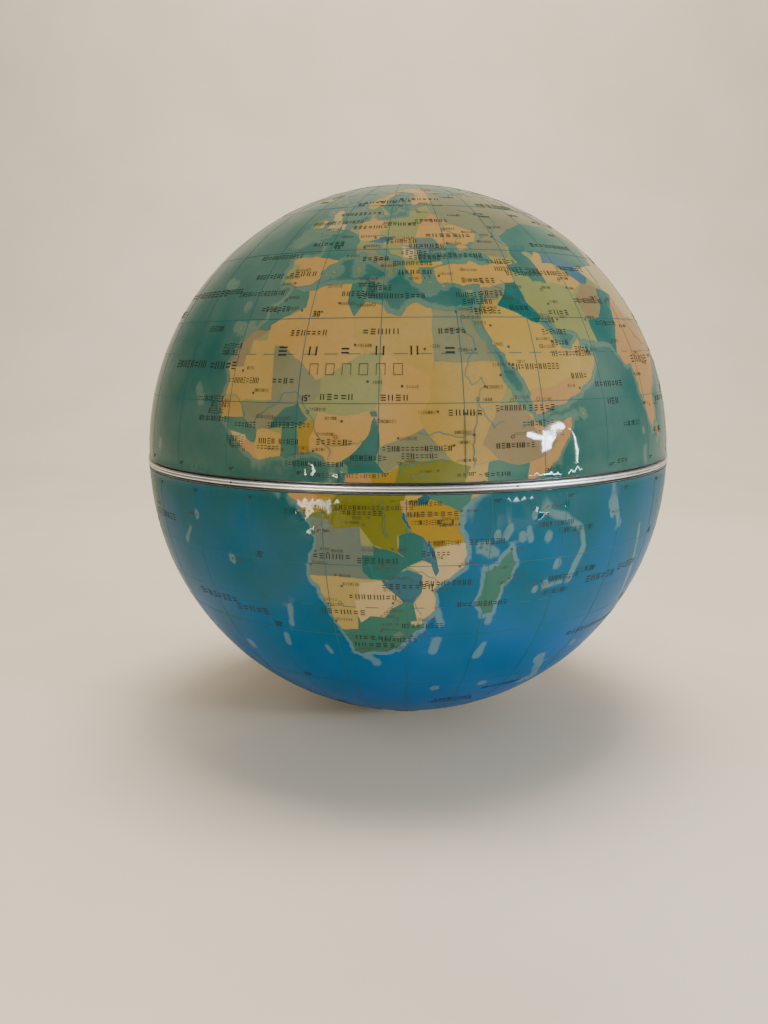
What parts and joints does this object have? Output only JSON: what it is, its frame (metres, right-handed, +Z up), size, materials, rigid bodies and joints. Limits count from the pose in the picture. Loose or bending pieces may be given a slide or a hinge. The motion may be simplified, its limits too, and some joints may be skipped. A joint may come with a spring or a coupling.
{
  "type": "desktop globe",
  "caption": "Two-part desk globe: printed bowl and lift-off printed lid joined by a bright double-bead equator ring, turning on a low hidden swivel foot.",
  "frame": {"origin": "on the surface the globe stands on, under the middle of the foot", "axes": "+Z up along the polar axis; -Y is the side that shows Africa"},
  "size_m": [0.2214, 0.2214, 0.226],
  "materials": {
    "northern_print": "printed map under clear gloss",
    "southern_print": "printed map under clear gloss",
    "black_moulding": "moulded, fine texture",
    "bright_ring": "plated, slightly worn",
    "zinc_steel": "zinc plated",
    "cast_iron": "as cast",
    "nylon": "natural",
    "rubber": "matt"
  },
  "bodies": {
    "foot": {"foot_disc": "black_moulding", "foot_pad": "rubber", "swivel_spindle": "zinc_steel", "thrust_washer": "nylon", "top_washer": "zinc_steel", "spring_washer": "zinc_steel", "lock_nut": "zinc_steel"},
    "bowl": {"lower_shell": "southern_print", "pole_bush": "nylon", "pole_plate": "zinc_steel", "plate_rivet_1": "zinc_steel", "plate_rivet_2": "zinc_steel", "plate_rivet_3": "zinc_steel", "ballast_ring": "cast_iron", "floor_disc": "black_moulding", "floor_screw_1": "zinc_steel", "floor_screw_2": "zinc_steel", "floor_screw_3": "zinc_steel", "seat_collar": "black_moulding", "equator_ring": "bright_ring"},
    "lid_slide": {"slip_ring": "black_moulding"},
    "lid": {"upper_shell": "northern_print", "lid_rim_band": "black_moulding"}
  },
  "joints": [
    {"name": "globe_spin", "type": "hinge", "parent": "foot", "child": "bowl", "pos_m": [0, 0, 0.0101], "axis": [0, 0, 1], "continuous": true},
    {"name": "lid_lift", "type": "slide", "parent": "bowl", "child": "lid_slide", "axis": [0, 0, 1], "range_m": [0, 0.13]},
    {"name": "lid_turn", "type": "hinge", "parent": "lid_slide", "child": "lid", "pos_m": [0, 0, 0.116], "axis": [0, 0, 1], "continuous": true}
  ]
}
